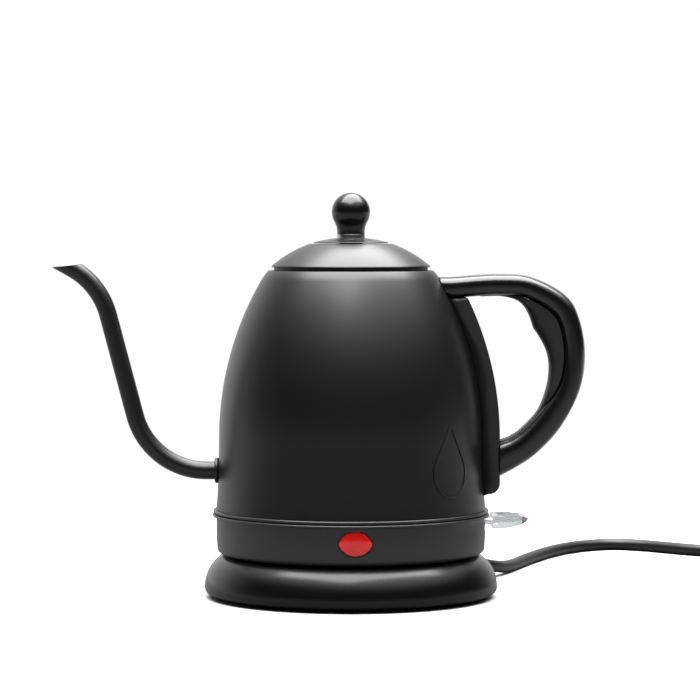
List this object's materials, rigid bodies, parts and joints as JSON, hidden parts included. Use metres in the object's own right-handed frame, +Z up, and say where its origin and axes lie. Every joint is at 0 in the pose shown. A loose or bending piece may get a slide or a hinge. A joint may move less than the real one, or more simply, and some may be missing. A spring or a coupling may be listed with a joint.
{
  "type": "electric kettle",
  "caption": "Gooseneck electric kettle with lift-off lid, rocker switch and lit window, standing on a round cordless power base with a mains cord.",
  "frame": {"origin": "on the table, at the middle of the footprint of kettle and base without the cord", "axes": "+X towards the handle, the spout points to -X; +Y towards the back, the lit window faces -Y; +Z up along the kettle's axis, which stands 16.45 mm to +X of the origin"},
  "size_m": [0.4617, 0.2978, 0.2077],
  "materials": {
    "black_moulding": "satin black moulded plastic",
    "dark_moulding": "plain dark moulded plastic",
    "band_moulding": "fine matte charcoal plastic",
    "coated_steel": "matte charcoal powder coat",
    "coated_trim": "matte grey coat with a burnished edge",
    "bright_steel": "plain stainless steel",
    "screw_steel": "zinc plated",
    "contact_brass": "plated contact",
    "spreader_aluminium": "as cast",
    "knob_gloss": "glossy black",
    "handle_satin": "satin black moulded plastic",
    "grip_soft": "soft touch, matte",
    "control_white": "plain cream thermoset",
    "foot_rubber": "matte rubber",
    "seal_silicone": "grey silicone",
    "cord_black": "matte black sheath",
    "plug_black": "moulded black plug",
    "lens_red": "clear red",
    "lamp_glass": "neon lamp",
    "lever_clear": "clear moulded plastic",
    "wire_colours": "insulated leads"
  },
  "bodies": {
    "power_base": {"base_housing": "black_moulding", "base_plate": "dark_moulding", "base_feet": "foot_rubber", "base_screws": "screw_steel", "base_connector": "dark_moulding", "base_contacts": "contact_brass", "base_wires": "wire_colours", "cord_clamp": "dark_moulding", "clamp_screws": "screw_steel", "strain_relief": "cord_black", "cord_tail": "cord_black", "cord": "cord_black", "cord_coil": "cord_black", "cord_end": "cord_black", "cord_tie": "dark_moulding", "plug_body": "plug_black", "plug_blades": "bright_steel", "plug_earth_pin": "bright_steel"},
    "contact_swivel": {"base_contact_ring": "contact_brass"},
    "kettle": {"vessel_shell": "coated_steel", "mouth_ring": "bright_steel", "body_sleeve": "bright_steel", "body_motif": "coated_steel", "vessel_floor": "bright_steel", "heat_spreader": "spreader_aluminium", "heating_element": "spreader_aluminium", "element_terminals": "screw_steel", "floor_studs": "screw_steel", "spout_tube": "coated_steel", "spout_collar": "coated_steel", "skirt_band": "band_moulding", "trim_ring": "coated_trim", "indicator_lens": "lens_red", "indicator_lamp": "lamp_glass", "lamp_holder": "control_white", "under_cover": "dark_moulding", "under_cover_screws": "screw_steel", "kettle_socket": "dark_moulding", "socket_contacts": "contact_brass", "control_block": "control_white", "dry_boil_discs": "contact_brass", "steam_switch": "control_white", "steam_bimetal": "contact_brass", "steam_tube": "seal_silicone", "inner_wires": "wire_colours", "lever_pin": "screw_steel", "handle_shell": "handle_satin", "handle_grip": "grip_soft", "handle_spine": "handle_satin", "handle_brackets": "bright_steel", "handle_screws": "screw_steel"},
    "lid": {"lid_dome": "coated_steel", "lid_liner": "dark_moulding", "lid_gasket": "seal_silicone", "knob_plate": "coated_trim", "knob_ring": "coated_trim", "lid_knob": "knob_gloss", "knob_screw": "screw_steel"},
    "switch": {"switch_lever": "lever_clear"}
  },
  "joints": [
    {"name": "kettle_swivel", "type": "hinge", "parent": "power_base", "child": "contact_swivel", "pos_m": [0.01645, 0, 0.0225], "axis": [0, 0, 1], "continuous": true},
    {"name": "kettle_lift", "type": "slide", "parent": "contact_swivel", "child": "kettle", "axis": [0, 0, 1], "range_m": [0, 0.06]},
    {"name": "lid_lift", "type": "slide", "parent": "kettle", "child": "lid", "axis": [0, 0, 1], "range_m": [0, 0.04]},
    {"name": "switch_rock", "type": "hinge", "parent": "kettle", "child": "switch", "pos_m": [0.07145, 0, 0.0393], "axis": [0, 1, 0], "range_deg": [0, 12]}
  ]
}
